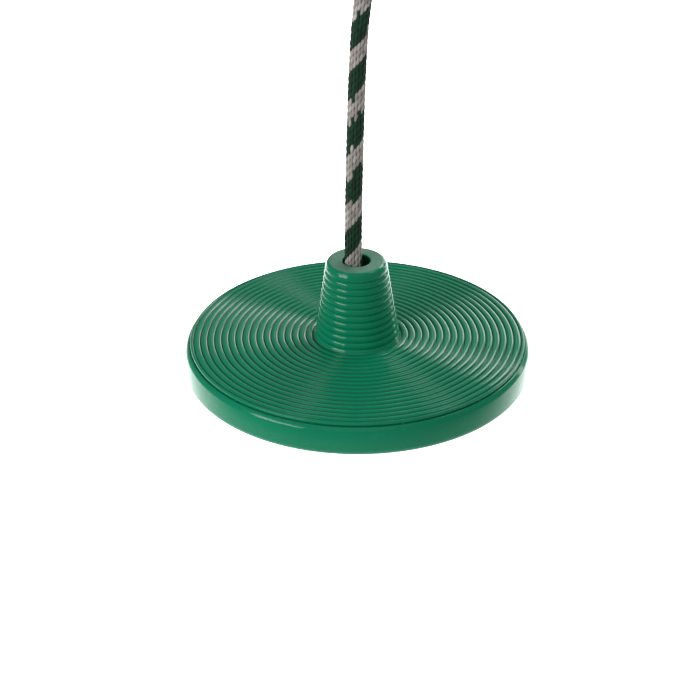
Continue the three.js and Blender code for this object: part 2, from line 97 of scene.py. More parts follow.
ROPE_DIAMETER = 15.5 * MM
ROPE_RADIUS = ROPE_DIAMETER / 2
LEG_SPACING = 16.3 * MM
EYE_BEND_RADIUS = 31 * MM
EYE_HALF_ANGLE = math.radians(28)
EYE_TOP = -97.95 * MM
FERRULE_LOW, FERRULE_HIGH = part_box("ferrule")
SHORT_END_BEND = 40 * MM
SHORT_END_ANGLE = math.radians(25)
SHORT_END_STRAIGHT = 13 * MM

# The rope's route from the knot up to the ferrule. It leans on the left of the hub's bore.
MAIN_ROUTE = MM * np.array([
    (0.6, 0, -611.3),
    (0, 0, -592),
    (-1.3, -0.4, -567),
    (-2.7, -0.8, -544),
    (-3.5, -1, -522),
    (-3.6, -1, -492),
    (-3.1, -0.9, -452),
    (-2.3, -0.7, -412),
    (-1.3, -0.5, -372),
    (0, -0.3, -334),
    (1.6, -0.15, -304),
    (3.8, 0, -280),
    (6.4, 0, -257),
    (7.9, 0, -241),
])

# ---- Camera

CAMERA_ELEVATION = math.radians(29.4)
CAMERA_DISTANCE = 3.24
VIEW_WIDTH = 0.6178  # across the picture, at the disc's middle
AIM = (-6.5 * MM, -10.2 * MM)  # from the disc's middle, to the right and up in the picture


def add_object(name, data):
    made = bpy.data.objects.new(name, data)
    bpy.context.scene.collection.objects.link(made)
    return made


def aim(thing, direction):
    thing.rotation_mode = "QUATERNION"
    thing.rotation_quaternion = Vector(direction).to_track_quat("-Z", "Y")


def add_camera():
    data = bpy.data.cameras.new("camera")
    data.sensor_width = 36
    data.lens = data.sensor_width * CAMERA_DISTANCE / VIEW_WIDTH
    data.clip_end = 50
    camera = add_object("camera", data)
    back = Vector((0, -math.cos(CAMERA_ELEVATION), math.sin(CAMERA_ELEVATION)))
    up = Vector((0, math.sin(CAMERA_ELEVATION), math.cos(CAMERA_ELEVATION)))
    target = Vector((0, 0, SEAT_Z)) + Vector((AIM[0], 0, 0)) + AIM[1] * up
    camera.location = target + CAMERA_DISTANCE * back
    aim(camera, -back)
    bpy.context.scene.camera = camera


# ---- Declaring pieces


def declare(made, slot, body, *nodes, sharp=None):
    """Gives a piece its material, the CAD nodes that it stands for and the body that it moves with.

    Edges that turn by more than sharp, in degrees, are shaded sharp.
    """
    if sharp:
        made.data.polygons.foreach_set("use_smooth", [True] * len(made.data.polygons))
        made.data.set_sharp_from_angle(angle=math.radians(sharp))
    paint(made, MATERIALS[slot]())
    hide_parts(*nodes)
    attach(made, body)


def paint(made, material):
    made.data.materials.clear()
    made.data.materials.append(material)


# ---- Mesh helpers


def mesh_object(name, points, faces, smooth=True):
    mesh = bpy.data.meshes.new(name)
    mesh.from_pydata([tuple(p) for p in points], [], [tuple(f) for f in faces])
    mesh.validate()
    mesh.polygons.foreach_set("use_smooth", [smooth] * len(mesh.polygons))
    return add_object(name, mesh)


@contextlib.contextmanager
def editing(made):
    """A piece's mesh as a bmesh, written back at the end."""
    work = bmesh.new()
    work.from_mesh(made.data)
    yield work
    work.to_mesh(made.data)
    work.free()


def arc(centre, radius, start, end, steps):
    """Points of an arc in a plane, with angles in degrees."""
    angles = np.radians(np.linspace(start, end, steps + 1))
    return [(centre[0] + radius * math.cos(a), centre[1] + radius * math.sin(a)) for a in angles]


def grid_faces(rows, columns, close_rows):
    """Quads of a grid of points that is closed across its columns, and along its rows if asked."""
    r = np.arange(rows if close_rows else rows - 1)[:, None]
    c = np.arange(columns)[None]
    after_r, after_c = (r + 1) % rows, (c + 1) % columns
    corners = [r * columns + c, r * columns + after_c, after_r * columns + after_c, after_r * columns + c]
    return np.stack(np.broadcast_arrays(*corners), -1).reshape(-1, 4).tolist()


def turned(name, outline, sides):
    """A closed outline of (radius, height) points, given clockwise, turned round Z."""
    outline = np.array(outline, float)
    angles = 2 * math.pi * np.arange(sides) / sides
    around = np.stack([np.cos(angles), np.sin(angles)], -1)
    points = np.empty((len(outline), sides, 3))
    points[..., :2] = outline[:, None, :1] * around[None]
    points[..., 2] = outline[:, None, 1]
    return mesh_object(name, points.reshape(-1, 3), grid_faces(len(outline), sides, True))


def smooth_line(points, step):
    """A centripetal Catmull-Rom line through points, at even steps of about the given length."""
    p = np.array(points, float)
    p = np.vstack([2 * p[0] - p[1], p, 2 * p[-1] - p[-2]])
    dense = []
    for a, b, c, d in zip(p, p[1:], p[2:], p[3:]):
        t1 = np.linalg.norm(b - a) ** 0.5
        t2 = t1 + np.linalg.norm(c - b) ** 0.5
        t3 = t2 + np.linalg.norm(d - c) ** 0.5
        t = np.linspace(t1, t2, 24, endpoint=False)[:, None]
        ab = (t1 - t) / t1 * a + t / t1 * b
        bc = (t2 - t) / (t2 - t1) * b + (t - t1) / (t2 - t1) * c
        cd = (t3 - t) / (t3 - t2) * c + (t - t2) / (t3 - t2) * d
        abc = (t2 - t) / t2 * ab + t / t2 * bc
        bcd = (t3 - t) / (t3 - t1) * bc + (t - t1) / (t3 - t1) * cd
        dense.append((t2 - t) / (t2 - t1) * abc + (t - t1) / (t2 - t1) * bcd)
    return even_line(np.vstack([*dense, p[-2:-1]]), step)


def length_of(line):
    return float(np.linalg.norm(np.diff(line, axis=0), axis=1).sum())


def resample(line, count):
    """A number of points at even steps along a line."""
    lengths = np.concatenate([[0], np.cumsum(np.linalg.norm(np.diff(line, axis=0), axis=1))])
    places = np.linspace(0, lengths[-1], count)
    return np.stack([np.interp(places, lengths, line[:, k]) for k in range(3)], -1)


def even_line(line, step):
    return resample(line, max(2, round(length_of(line) / step) + 1))


def frames_along(line, first_normal):
    """Tangents, normals and binormals that turn as little as they can along a line."""
    tangents = np.gradient(line, axis=0)
    tangents /= np.linalg.norm(tangents, axis=1)[:, None]
    normal = np.array(first_normal, float)
    normals = []
    for tangent in tangents:
        normal = normal - (normal @ tangent) * tangent
        normal = normal / np.linalg.norm(normal)
        normals.append(normal)
    normals = np.array(normals)
    return tangents, normals, np.cross(tangents, normals)


def carried(name, line, section, normals, binormals, closed):
    """The skin of a section of (normal, binormal) offsets that is carried along a line."""
    section = np.array(section, float)
    across = section[None, :, :1] * normals[:, None]
    points = line[:, None] + across + section[None, :, 1:] * binormals[:, None]
    return mesh_object(name, points.reshape(-1, 3), grid_faces(len(line), len(section), closed))


def swept(name, line, section, first_normal=(0, 1, 0)):
    """A section carried along an open line, with flat ends."""
    _, normals, binormals = frames_along(line, first_normal)
    made = carried(name, line, section, normals, binormals, False)
    cap_ends(made)
    return made


def cap_ends(made):
    with editing(made) as work:
        edges = [e for e in work.edges if e.is_boundary]
        bmesh.ops.holes_fill(work, edges=edges, sides=0)
        bmesh.ops.recalc_face_normals(work, faces=work.faces)


def circle(radius, sides, centre=(0, 0)):
    return arc(centre, radius, 0, 360, sides)[:-1]


# ---- Seat


def dome_at(r):
    return DOME_RISE * (1 - (r / OUTER_VALLEY_RADIUS) ** 2)


def hub_radius_at(z):
    base = dome_at(HUB_BASE_RADIUS)
    return HUB_BASE_RADIUS + (HUB_TOP_RADIUS - HUB_BASE_RADIUS) * (z - base) / (HUB_HEIGHT - base)


def hub_outline():
    """From the bore's mouth over the flat top and its round edge, down the smooth collar and the ribs."""
    mouth_centre = (BORE_TOP_RADIUS + BORE_EDGE_RADIUS, HUB_HEIGHT - BORE_EDGE_RADIUS)
    mouth = arc(mouth_centre, BORE_EDGE_RADIUS, 180, 90, 5)
    edge_centre = (HUB_TOP_RADIUS - HUB_EDGE_RADIUS, HUB_HEIGHT - HUB_EDGE_RADIUS)
    edge = arc(edge_centre, HUB_EDGE_RADIUS, 90, 10, 10)
    pitch = (HUB_HEIGHT - dome_at(HUB_BASE_RADIUS)) / HUB_RIBS
    ribs = []
    for t in np.linspace(0, HUB_RIBS, HUB_RIBS * 12, endpoint=False)[9:]:
        z = HUB_HEIGHT - t * pitch
        depth = HUB_RIB_DEPTH * valley(t - 0.5) if t > 1 else 0
        ribs.append((hub_radius_at(z) - depth, z))
    return mouth + edge + ribs


def valley(t):
    """How deep a row of ribs dips at t, which counts ribs: 1 in each valley and 0 on each crest."""
    return abs(2 * (t % 1) - 1) ** VALLEY_SHARPNESS


def ridge_outline():
    """The disc's top from the hub out to its outermost valley."""
    points = []
    inner = OUTER_VALLEY_RADIUS - RIDGE_COUNT * RIDGE_PITCH
    for t in np.linspace(0, RIDGE_COUNT, RIDGE_COUNT * 12 + 1):
        r = inner + t * RIDGE_PITCH
        points.append((r, dome_at(r) + RIDGE_HEIGHT * (0.5 - valley(t))))
    return points


def near(point, *offsets):
    """Points at offsets, in millimetres, from a point of an outline."""
    return [(point[0] + r * MM, point[1] + z * MM) for r, z in offsets]


def rim_outline():
    """The lip, the groove below it, the shoulder, the slightly bulging side wall and the lower edge."""
    bottom = (SEAT_RADIUS - RIM_EDGE_RADIUS, -RIM_DEPTH)
    inside = SEAT_RADIUS - SKIRT_THICKNESS - 1 * MM
    return [
        *near((OUTER_VALLEY_RADIUS, 0), (0.45, -0.15), (1.1, 0.08), (1.8, 0.1)),
        *near(LIP_EDGE, (-0.55, 0.88), (-0.15, 0.5), (0, 0), (-0.05, -1.4), (-0.4, -2.2), (-0.45, -2.6)),
        *near(SHOULDER_TOP, (-0.6, -0.8), (0.05, -0.45), (0.5, -0.45), (1, -0.8)),
        *near(SHOULDER_EDGE, (-1.1, 2.1), (-0.5, 1.2), (-0.12, 0.5), (0.1, -0.4), (0.25, -1.6)),
        (SEAT_RADIUS - 0.4 * MM, -0.36 * RIM_DEPTH),
        (SEAT_RADIUS - 0.1 * MM, -0.48 * RIM_DEPTH),
        (SEAT_RADIUS, -0.58 * RIM_DEPTH),
        *arc((bottom[0], bottom[1] + RIM_EDGE_RADIUS), RIM_EDGE_RADIUS, 0, -90, 14),
        *near(bottom, (-3, 0), (-3.7, 0.4), (-4, 2)),
        (inside - 2 * MM, -RIM_DEPTH + RIM_EDGE_RADIUS),
        (inside, dome_at(inside) - PLATE_THICKNESS - 2 * MM),
        (inside - 2 * MM, dome_at(inside) - PLATE_THICKNESS),
    ]


def underside_outline():
    """The underside from the skirt in to the bore, with its ring ribs and the well round the knot."""
    points = []
    for r in (*reversed(RING_RIB_RADII), WELL_RADIUS):
        outer = r + RIB_THICKNESS
        points += [
            (outer, dome_at(outer) - PLATE_THICKNESS),
            *near((outer, RIB_BOTTOM), (-0.3, 0.4), (-0.7, 0)),
            *near((r, RIB_BOTTOM), (0.7, 0), (0.3, 0.4)),
            (r, dome_at(r) - PLATE_THICKNESS),
        ]
    hub_inside = HUB_HEIGHT - HUB_WALL - 1 * MM
    boss_radius = BORE_RADIUS + BORE_WALL
    return [
        *points,
        (hub_radius_at(hub_inside) - HUB_WALL, hub_inside),
        (boss_radius, hub_inside),
        *near((boss_radius, BOSS_BOTTOM), (0, 0.5), (-0.5, 0)),
        *near((BORE_RADIUS, BOSS_BOTTOM), (0.5, 0), (0, 0.5)),
    ]


def radial_rib():
    """One rib under the disc: up inside the hub, level with the boss over the well, then deep."""
    inner = BORE_RADIUS + BORE_WALL / 2
    well = WELL_RADIUS + RIB_THICKNESS / 2
    outer = SEAT_RADIUS - SKIRT_THICKNESS
    cover = PLATE_THICKNESS / 2
    hub_inside = HUB_HEIGHT - HUB_WALL
    outline = [
        (inner, BOSS_BOTTOM),
        (well, BOSS_BOTTOM),
        (well, RIB_BOTTOM),
        (outer, RIB_BOTTOM),
        (outer, dome_at(outer) - cover),
        ((well + outer) / 2, dome_at((well + outer) / 2) - cover),
        (well, dome_at(WELL_RADIUS) - cover),
        (hub_radius_at(hub_inside) - HUB_WALL / 2, hub_inside),
        (inner, hub_inside),
    ]
    return plate("rib", outline, RIB_THICKNESS)


def plate(name, outline, thickness):
    """A plate in the XZ plane, centred on Y, from an outline of (x, z) points."""
    n = len(outline)
    points = [(x, y, z) for y in (-thickness / 2, thickness / 2) for x, z in outline]
    sides = [(i, (i + 1) % n, n + (i + 1) % n, n + i) for i in range(n)]
    ends = [tuple(range(n))[::-1], tuple(range(n, 2 * n))]
    made = mesh_object(name, points, [*sides, *ends], smooth=False)
    face_out(made)
    return made


def face_out(made):
    with editing(made) as work:
        bmesh.ops.recalc_face_normals(work, faces=work.faces)


def place(made, where, tilt):
    """Moves a piece's mesh, after a turn about Y in radians."""
    made.data.transform(Matrix.Translation(where) @ Matrix.Rotation(tilt, 4, "Y"))
    return made


def combine(made, others, operation):
    """A boolean of closed pieces with an exact result, which removes the others."""
    for other in others:
        change = made.modifiers.new("combine", "BOOLEAN")
        change.operation = operation
        change.solver = "MANIFOLD"
        change.object = other
        apply_modifiers(made)
        bpy.data.objects.remove(other)


def apply_modifiers(made):
    evaluated = made.evaluated_get(bpy.context.evaluated_depsgraph_get())
    mesh = bpy.data.meshes.new_from_object(evaluated)
    made.modifiers.clear()
    made.data = mesh


def add_seat():
    outline = hub_outline() + ridge_outline() + rim_outline() + underside_outline()
    made = turned("seat_moulding", outline, SEAT_SIDES)
    face_out(made)
    ribs = []
    for i in range(RADIAL_RIBS):
        rib = radial_rib()
        rib.rotation_euler.z = 2 * math.pi * (i + 0.5) / RADIAL_RIBS
        ribs.append(rib)
    bpy.context.view_layer.update()
    combine(made, ribs, "UNION")
    lean_hub(made)
    made.data.transform(Matrix.Translation((0, 0, SEAT_Z)))
    declare(made, "seat_plastic", "seat", "seat", sharp=40)


def lean_hub(made):
    """Leans the hub, and what is inside it, to the left."""
    for vertex in made.data.vertices:
        x, y, z = vertex.co
        if z > 0 and math.hypot(x, y) < HUB_BASE_RADIUS + RIDGE_PITCH:
            vertex.co.x -= HUB_LEAN * z / HUB_HEIGHT


# ---- Braided rope

COLUMNS = 16  # of stitches round the rope
SAMPLES = 8  # of the surface across one column
RING_STEP = 0.75 * MM
STITCH_PITCH = 6.6 * MM
STITCH_LENGTH = 10.4 * MM
STITCH_WIDTH = 3.7 * MM
STITCH_RISE = 1.55 * MM
STITCH_LEAN = math.radians(9)
STITCH_LIFT = 0.18  # of a stitch's upper end over its lower one, as a share of its rise
COLOUR_PITCH = 50 * MM  # the rise of the green band in one turn
GREEN_SHARE = 0.54
STRAY_SHARE = 0.16  # of the colour's pitch that a stitch may be out of step by
MOST_STITCHES = 4096  # along one column
GREEN_START = 91 * MM  # above the disc, where the green band starts on the rope's front
FUSED_DOME = ((0.86, 0.03), (0.6, 0.05), (0.3, 0.06))  # its rings' radii and heights, in rope radii


def eye_line(step):
    """Up from the ferrule's low end, round the thimble, and back through the ferrule to the short end."""
    half, bend, x = EYE_HALF_ANGLE, EYE_BEND_RADIUS, LEG_SPACING / 2
    centre = EYE_TOP - bend
    tangent = (bend * math.cos(half), centre - bend * math.sin(half))
    bend_x = x + bend * (1 - math.cos(half))
    bend_z = tangent[1] - (tangent[0] - bend_x) / math.tan(half)
    low = bend_z - bend * math.sin(half)
    degrees = math.degrees(half)
    points = [(x, FERRULE_LOW.z)]
    points += arc((x + bend, low), bend, 180, 180 - degrees, 12)
    points += arc((0, centre), bend, -degrees, 180 + degrees, 90)
    points += arc((-x - bend, low), bend, degrees, 0, 12)
    short_turn = math.degrees(SHORT_END_ANGLE)
    points += arc((-x - SHORT_END_BEND, FERRULE_LOW.z), SHORT_END_BEND, 0, -short_turn, 8)
    across, down = math.sin(SHORT_END_ANGLE), math.cos(SHORT_END_ANGLE)
    x, z = points[-1]
    points.append((x - SHORT_END_STRAIGHT * across, z - SHORT_END_STRAIGHT * down))
    return even_line(np.array([(px, 0, pz) for px, pz in points]), step)


def rope_line():
    return smooth_line([*MAIN_ROUTE, *eye_line(9 * MM)], RING_STEP)


def stitches(along, angle, radius):
    """For points of the rope's surface: the braid's rise, then the column, the centre and the two
    offsets from the centre of the stitch that shows there."""
    column = np.floor(angle / (2 * math.pi) * COLUMNS)
    shown = [np.zeros(np.broadcast(along, angle).shape) for _ in range(5)]
    for beside in (-1, 0, 1, 2):
        k = column + beside
        shift = STITCH_PITCH * 0.5 * (k % 2)
        row = np.floor((along - shift) / STITCH_PITCH)
        for above in (-1, 0, 1, 2):
            centre = (row + above) * STITCH_PITCH + shift
            u = radius * (angle - k * 2 * math.pi / COLUMNS)
            v = along - centre
            a = u * math.cos(STITCH_LEAN) - v * math.sin(STITCH_LEAN)
            b = u * math.sin(STITCH_LEAN) + v * math.cos(STITCH_LEAN)
            inside = 1 - (a / (STITCH_WIDTH / 2)) ** 2 - (b / (STITCH_LENGTH / 2)) ** 2
            rise = np.sqrt(np.maximum(inside, 0)) * (1 + STITCH_LIFT * b / STITCH_LENGTH)
            wins = rise > shown[0]
            shown = [np.where(wins, new, old) for new, old in zip((rise, k % COLUMNS, centre, a, b), shown)]
    return shown


def braided(name, line, green_from, seed=7):
    """A rope of braided stitches with fused ends. green_from is how far along it the green starts."""
    _, normals, binormals = frames_along(line, (1, 0, 0))
    around = COLUMNS * SAMPLES
    along = RING_STEP * np.arange(len(line))[:, None]
    angle = 2 * math.pi * np.arange(around)[None] / around
    rise, column, centre, across, lengthwise = stitches(along, angle, ROPE_RADIUS)
    r = ROPE_RADIUS - STITCH_RISE + STITCH_RISE * rise
    direction = np.cos(angle)[..., None] * normals[:, None]
    direction = direction + np.sin(angle)[..., None] * binormals[:, None]
    points = line[:, None] + r[..., None] * direction
    made = mesh_object(name, points.reshape(-1, 3), grid_faces(len(line), around, False))
    turn = column / COLUMNS + 0.25
    random = np.random.default_rng(seed)
    stitch = column.astype(int), np.round(centre / STITCH_PITCH * 2).astype(int) % MOST_STITCHES
    tint = random.random((COLUMNS, MOST_STITCHES))[stitch]
    strayed = STRAY_SHARE * (random.random((COLUMNS, MOST_STITCHES)) - 0.5)[stitch]
    phase = ((centre - green_from) / COLOUR_PITCH - turn + strayed) % 1
    add_attribute(made, "light", np.where(phase < GREEN_SHARE, 0.0, 1.0))
    add_attribute(made, "tint", tint)
    add_attribute(made, "rise", rise)
    fibre = np.stack(np.broadcast_arrays(across / MM, lengthwise / MM, tint * 40), -1)
    attribute = made.data.attributes.new("fibre", "FLOAT_VECTOR", "POINT")
    attribute.data.foreach_set("vector", fibre.astype(np.float32).ravel())
    fuse_ends(made, line, around)
    face_out(made)
    return made


def add_attribute(made, name, values):
    attribute = made.data.attributes.new(name, "FLOAT", "POINT")
    attribute.data.foreach_set("value", np.asarray(values, np.float32).ravel())


def fuse_ends(made, line, around):
    """Closes each end of a rope with a shallow dome."""
    with editing(made) as work:
        work.verts.ensure_lookup_table()
        first = [work.verts[i] for i in range(around)]
        last = [work.verts[(len(line) - 1) * around + i] for i in range(around)]
        for edge, end, before in ((first, line[0], line[1]), (last, line[-1], line[-2])):
            middle = Vector(end)
            outward = (middle - Vector(before)).normalized() * ROPE_RADIUS
            starts = [v.co.copy() for v in edge]
            for share, proud in FUSED_DOME:
                places = [middle.lerp(start, share) + proud * outward for start in starts]
                inner = [work.verts.new(place, old) for place, old in zip(places, edge)]
                for i in range(around):
                    after = (i + 1) % around
                    work.faces.new((edge[i], edge[after], inner[after], inner[i])).smooth = True
                edge = inner
            work.faces.new(edge).smooth = True


def add_rope():
    line = rope_line()
    lengths = RING_STEP * np.arange(len(line))
    green_height = SEAT_Z + GREEN_START
    green_from = float(np.interp(green_height, line[:200, 2], lengths[:200]))
    made = braided("rope_braid", line, green_from)
    declare(made, "rope_fibre", "line", "rope")


# ---- Knot

KNOT_TOP = -611.6 * MM
TAIL_END = -690.9 * MM
TAIL_PLACE = (3 * MM, -2 * MM)
KNOT_POINTS = 110
KNOT_ROUNDS = 420
KNOT_STRAND = 14.8 * MM  # between the centre lines of strands that touch
KNOT_OPENING = 0.12  # radians left out of the loose knot's curve, where its ends leave it
PULL, STRAIGHTEN = 0.05, 0.5  # the shares of the way that each round moves the ends, and the points between
PULLED_HALF = 4.2  # strand widths from the knot's middle to each end that is pulled


def loose_knot(d):
    """An overhand knot tied loosely in strands d apart, from its lower end to its upper end."""
    u = np.linspace(KNOT_OPENING, 2 * math.pi - KNOT_OPENING, 300)
    ring, swell = 2 * d, 1.15 * d
    rho = ring + swell * np.cos(3 * u)
    knot = np.stack([rho * np.cos(2 * u), swell * np.sin(3 * u), rho * np.sin(2 * u)], -1)
    side = ring + swell + 0.3 * d
    low = [(side, 0.5 * d, -6 * d), (side, 0.5 * d, -1.5 * d)]
    high = [(side, -0.5 * d, 1.5 * d), (side, -0.5 * d, 6 * d)]
    return np.vstack([low, knot, high])


def push_apart(line, d, neighbours):
    """Moves the points that are nearer than d, and not neighbours along the line, away from each other."""
    apart = line[:, None] - line[None]
    distance = np.linalg.norm(apart, axis=-1) + 1e-9
    order = np.arange(len(line))
    far_along = np.abs(order[:, None] - order[None]) > neighbours
    lack = np.where(far_along & (distance < d), d - distance, 0)
    push = (apart / distance[..., None] * lack[..., None]).sum(1)
    return line + 0.5 * push / np.maximum((lack > 0).sum(1), 1)[:, None]


def tightened_knot(d):
    """The knot's line with its ends pulled apart until its strands lie against each other."""
    line = resample(loose_knot(d), KNOT_POINTS)
    top, bottom = np.array([0, 0, PULLED_HALF * d]), np.array([0, 0, -PULLED_HALF * d])
    for _ in range(KNOT_ROUNDS):
        line[0] += PULL * (bottom - line[0])
        line[-1] += PULL * (top - line[-1])
        line[1:-1] += STRAIGHTEN * (line[:-2] + line[2:] - 2 * line[1:-1])
        neighbours = max(3, round(1.5 * d / (length_of(line) / (KNOT_POINTS - 1))))
        for _ in range(4):
            line = push_apart(line, d, neighbours)
        line = resample(line, KNOT_POINTS)
    return line[::-1]


def knot_line():
    """Down from the load washer, through the knot, and along the tail."""
    line = tightened_knot(KNOT_STRAND)
    heights = line[:, 2]
    first_low = int(np.argmax(np.diff(heights) > 0))
    lump_top = heights[first_low:].max() + ROPE_RADIUS
    line = line[heights < lump_top - 1 * MM] - (0, 0, lump_top)
    line += (MAIN_ROUTE[0][0], MAIN_ROUTE[0][1], KNOT_TOP)
    off_axis = np.hypot(line[:, 0], line[:, 1]) > 0.3 * ROPE_DIAMETER
    knot = line[: len(line) - int(np.argmax(off_axis[::-1]))]
    turned_down = knot[-1] + (0, 0, -0.6 * ROPE_DIAMETER)
    turned_down[:2] = TAIL_PLACE
    end = (*TAIL_PLACE, TAIL_END + 0.5 * MM)
    return smooth_line([*knot[::2], turned_down, end], RING_STEP)


def add_knot():
    made = braided("knot_and_tail", knot_line(), green_from=18 * MM, seed=3)
    declare(made, "rope_fibre", "line", "stopper_knot", "rope_tail")


# ---- Bands, ferrule and thimble

BAND_LENGTH = 12 * MM
BAND_WALL = 0.9 * MM
BAND_INSET = 1.5 * MM
FERRULE_WALL = 2.6 * MM
PRESS_DEPTH = 0.7 * MM
THIMBLE_THICKNESS = 2.2 * MM


def add_band(name, node, where, tilt):
    """A heat-shrunk sleeve with a waist, soft rings and rounded ends, standing on its lower end."""
    inner = ROPE_RADIUS + GAP
    outside = []
    for share in np.linspace(0, 1, 33):
        end_distance = min(share, 1 - share) * BAND_LENGTH
        rounding = BAND_WALL * 0.8 * max(0, 1 - end_distance / BAND_WALL) ** 2
        ripple = 0.07 * MM * math.sin(share * 9 * math.pi)
        outside.append((inner + BAND_WALL - rounding + ripple, (1 - share) * BAND_LENGTH))
    made = turned(name, [(inner, BAND_LENGTH), *outside, (inner, 0)], 72)
    place(made, where, tilt)
    declare(made, "sleeve_black", "line", node)


def add_bands():
    tail_low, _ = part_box("tail_end_band")
    add_band("tail_band", "tail_end_band", (*TAIL_PLACE, tail_low.z), 0)
    line = eye_line(9 * MM)
    end, inward = Vector(line[-1]), Vector(line[-2] - line[-1]).normalized()
    add_band("short_band", "short_end_band", end + BAND_INSET * inward, SHORT_END_ANGLE)


def stadium(radius, half=48):
    """A ring of points at a radius round both legs of the eye, with half of them round each leg."""
    right = arc((LEG_SPACING / 2, 0), radius, -90, 90, half - 1)
    left = arc((-LEG_SPACING / 2, 0), radius, 90, 270, half - 1)
    return np.array(right + left)


def add_ferrule():
    """A pressed sleeve: rounded ends, three dies' marks, and a thin line of flash down each side."""
    inner = ROPE_RADIUS + GAP
    length = FERRULE_HIGH.z - FERRULE_LOW.z
    rings = []
    for share in np.linspace(0, 1, 73):
        end_distance = min(share, 1 - share) * length
        rounding = 1.6 * MM * max(0, 1 - end_distance / (2 * MM)) ** 2
        die = 1 / (1 + math.exp(-14 * (math.cos(6 * math.pi * (share - 1 / 6)) - 0.1)))
        ring = stadium(inner + FERRULE_WALL - rounding - PRESS_DEPTH * die)
        flash = 0.35 * MM * np.exp(-((ring[:, 1] / (0.6 * MM)) ** 2)) * die
        ring[:, 0] += flash * np.sign(ring[:, 0])
        rings.append([(x, y, FERRULE_LOW.z + share * length) for x, y in ring])
    top, bottom, chamfer = FERRULE_HIGH.z, FERRULE_LOW.z, 0.6 * MM
    bore = ((top, 0.5 * MM), (top - chamfer, 0), (bottom + chamfer, 0), (bottom, 0.5 * MM))
    for z, spread in bore:
        rings.append([(x, y, z) for x, y in stadium(inner + spread)])
    points = np.array(rings)
    faces = grid_faces(len(rings), points.shape[1], True)
    made = mesh_object("ferrule_sleeve", points.reshape(-1, 3), faces)
    face_out(made)
    declare(made, "ferrule_aluminium", "line", "ferrule", sharp=50)


def add_thimble():
    """A half-tube liner with rolled edges on the inside of the eye."""
    inner = ROPE_RADIUS + GAP
    outer = inner + THIMBLE_THICKNESS
    middle = (inner + outer) / 2
    roll = THIMBLE_THICKNESS * 0.62
    section = arc((0, 0), outer, 10, 170, 22)
    section += arc((-middle, 0), roll, 150, 350, 9)
    section += arc((0, 0), inner, 172, 8, 22)
    section += arc((middle, 0), roll, 190, 390, 9)
    line = eye_line(1.5 * MM)
    bend = EYE_BEND_RADIUS * (1 - math.cos(EYE_HALF_ANGLE)) + LEG_SPACING / 2
    on_eye = (np.abs(line[:, 0]) > bend) | (line[:, 2] > EYE_TOP - EYE_BEND_RADIUS)
    made = swept("thimble_liner", line[on_eye & (line[:, 2] > FERRULE_HIGH.z)], section)
    declare(made, "zinc_steel", "line", "thimble", sharp=50)


# ---- Load washer

LOAD_WASHER_HOLE_RADIUS = 9.6 * MM


def add_load_washer():
    """A stamped disc: rolled over on its upper edge, with a small burr on its lower one."""
    low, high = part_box("load_washer")
    hole = LOAD_WASHER_HOLE_RADIUS
    soft, rolled = 0.5 * MM, 0.9 * MM
    outline = [(hole, high.z - soft), *arc((hole + soft, high.z - soft), soft, 170, 90, 4)]
    outline += arc((high.x - rolled, high.z - rolled), rolled, 90, 0, 6)
    outline += near((high.x, low.z), (0, 0.25), (-0.2, 0), (-0.7, 0.08))
    outline += near((hole, low.z), (0.6, 0.08), (0.2, 0), (0, 0.2))
    made = turned("load_washer_disc", outline, 144)
    declare(made, "zinc_steel", "washer", "load_washer", sharp=50)


# ---- Swivel

BOSS_RADIUS = 9.5 * MM
BOSS_TOP = -57 * MM
BOSS_LOW = -72 * MM
SHANK_RADIUS = 4 * MM
SHANK_TOP = -46.5 * MM
THREAD_PITCH = 1.25 * MM
THREAD_DEPTH = 0.55 * MM
THREAD_BOTTOM = -60 * MM
EYE_BAR_RADIUS = 4.5 * MM
EYE_RING_RADIUS = 17.5 * MM
EYE_RING_TOP = -78 * MM
COLLAR_RADIUS = 7 * MM
COLLAR_HEIGHT = 2.7 * MM
FLASH_HEIGHT = 0.18 * MM  # of the parting line left by the forging dies
FLASH_WIDTH = 0.5 * MM
FORGED_SIDES = 32


def forged_section(radius):
    """A round bar's section with a faint parting line on two sides."""
    section = []
    for x, y in circle(radius, FORGED_SIDES):
        grown = 1 + FLASH_HEIGHT / radius * math.exp(-((x / FLASH_WIDTH) ** 2))
        section.append((x * grown, y * grown))
    return section


def spindle(name, outline, sides=64, at=(0, 0, 0)):
    """A solid from (radius, height) points, from the top down, with flat ends, turned round Z."""
    angles = 2 * math.pi * np.arange(sides) / sides
    points = [(r * math.cos(a), r * math.sin(a), z) for r, z in outline for a in angles]
    made = mesh_object(name, np.array(points) + np.array(at), grid_faces(len(outline), sides, False))
    cap_ends(made)
    return made


def threaded_shank():
    """The shank from its chamfered top, down its thread, to inside the eye's ring."""
    sides, rows = 48, 260
    low = EYE_RING_TOP - EYE_BAR_RADIUS / 3
    points = []
    for z in np.linspace(SHANK_TOP, low, rows):
        chamfer = max(0, 0.8 * MM - (SHANK_TOP - z))
        for a in 2 * math.pi * np.arange(sides) / sides:
            wave = 0.5 + 0.5 * math.cos(2 * math.pi * (z / THREAD_PITCH) - a)
            depth = THREAD_DEPTH * wave if z > THREAD_BOTTOM else 0
            r = SHANK_RADIUS - max(depth, chamfer)
            points.append((r * math.cos(a), r * math.sin(a), z))
    made = mesh_object("shank", points, grid_faces(rows, sides, False))
    cap_ends(made)
    return made


